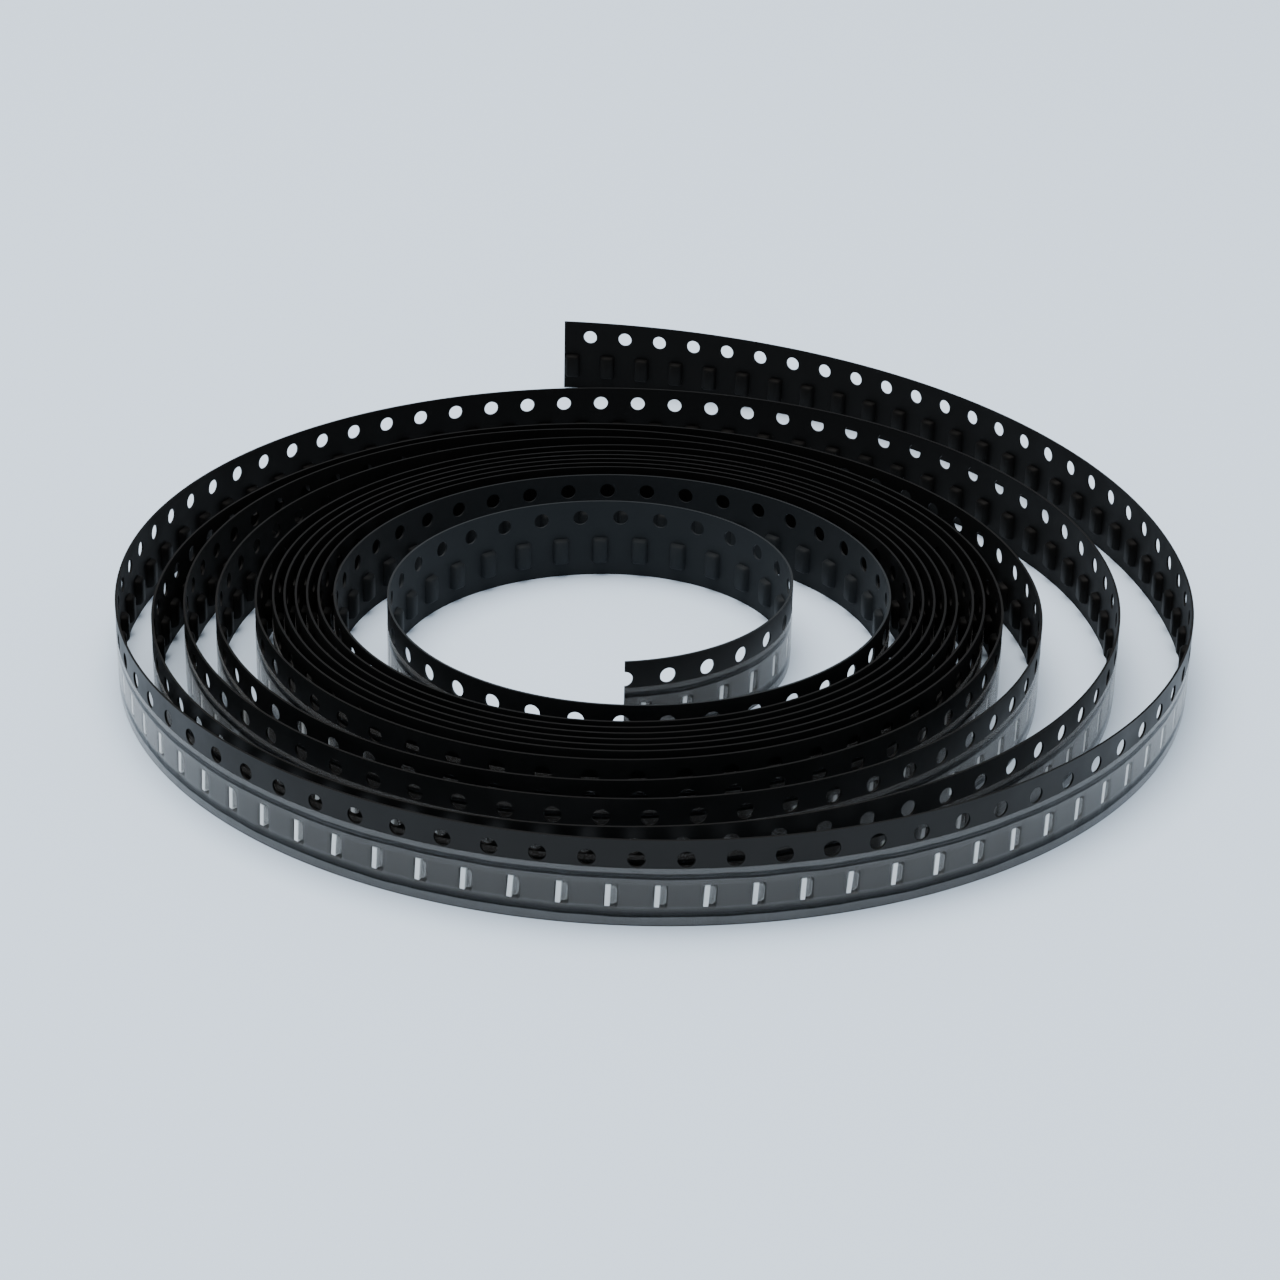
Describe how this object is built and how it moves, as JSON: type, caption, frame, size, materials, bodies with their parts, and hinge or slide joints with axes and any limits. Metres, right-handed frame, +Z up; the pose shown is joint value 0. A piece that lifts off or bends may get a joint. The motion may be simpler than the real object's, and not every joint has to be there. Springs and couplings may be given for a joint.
{
  "type": "smd carrier tape coil",
  "caption": "Loose coil of black 8 mm embossed carrier tape with sprocket holes, a clear sealed cover film and small side-view chips in its pockets.",
  "frame": {"origin": "centre of the bounding box on the plane that the tape's lower edge stands on", "axes": "+Z up across the tape towards its sprocket holes, +Y towards the outer cut end, which is the longest extent, +X to the right seen from the front"},
  "size_m": [0.101, 0.1164, 0.008],
  "materials": {
    "carrier_tape": "black conductive polystyrene film, satin, slightly orange-peeled by the embossing",
    "cover_tape": "clear heat-sealed polyester film, glossy",
    "chip_bodies": "pale laminate with a satin face",
    "chip_lenses": "clear moulded resin"
  },
  "bodies": {
    "root": {"carrier_tape": "carrier_tape", "cover_tape": "cover_tape", "chip_bodies": "chip_bodies", "chip_lenses": "chip_lenses"}
  },
  "joints": []
}
